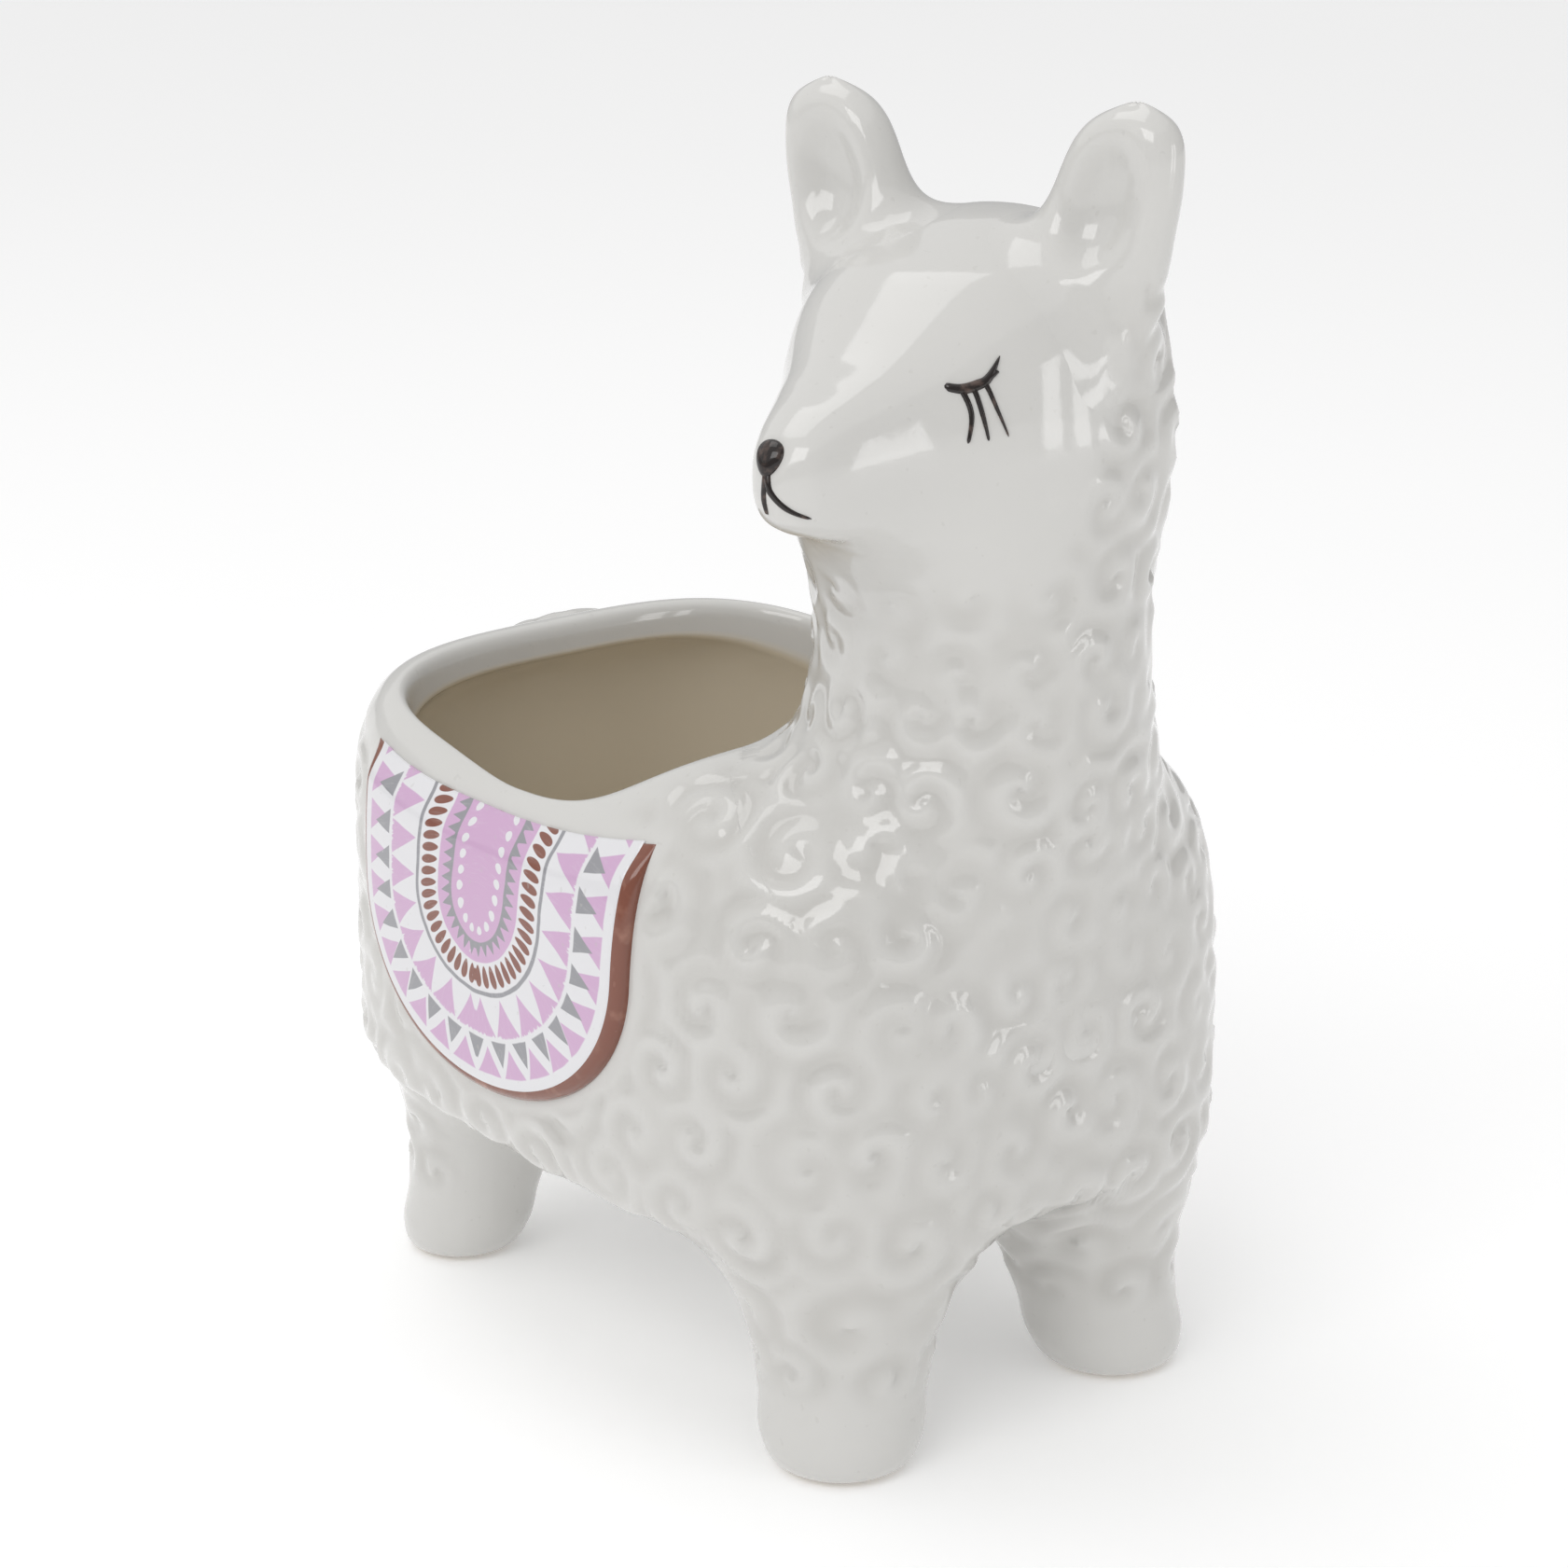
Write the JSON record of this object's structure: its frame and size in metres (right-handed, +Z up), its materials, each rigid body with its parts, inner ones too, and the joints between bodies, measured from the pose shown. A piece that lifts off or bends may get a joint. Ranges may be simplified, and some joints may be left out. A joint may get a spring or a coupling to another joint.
{
  "type": "animal shaped planter",
  "caption": "Glazed ceramic plant pot in the form of a standing llama, its head turned to one side, with an open bowl in its back, raised saddle blankets and stubby legs.",
  "frame": {"origin": "on the ground under the middle of the overall length and width", "axes": "+Z up; the body faces -Y; the animal's own right flank is on -X, and its head is turned to that side"},
  "size_m": [0.0903, 0.1285, 0.1683],
  "materials": {
    "glaze": "glossy pale warm off-white glaze over low wool relief",
    "blanket_edge": "brown edging under the same glossy glaze",
    "blanket_print": "printed bands in lilac pink, grey, brown and white under gloss",
    "enamel": "black-brown brushed enamel"
  },
  "bodies": {
    "root": {"bowl_body": "glaze", "neck_and_head": "glaze", "left_ear": "glaze", "right_ear": "glaze", "front_left_leg": "glaze", "front_right_leg": "glaze", "rear_left_leg": "glaze", "rear_right_leg": "glaze", "tail": "glaze", "left_blanket_pad": "blanket_edge", "left_blanket_print": "blanket_print", "right_blanket_pad": "blanket_edge", "right_blanket_print": "blanket_print", "left_eyelash": "enamel", "right_eyelash": "enamel", "nose": "enamel", "mouth_line": "enamel"}
  },
  "joints": []
}
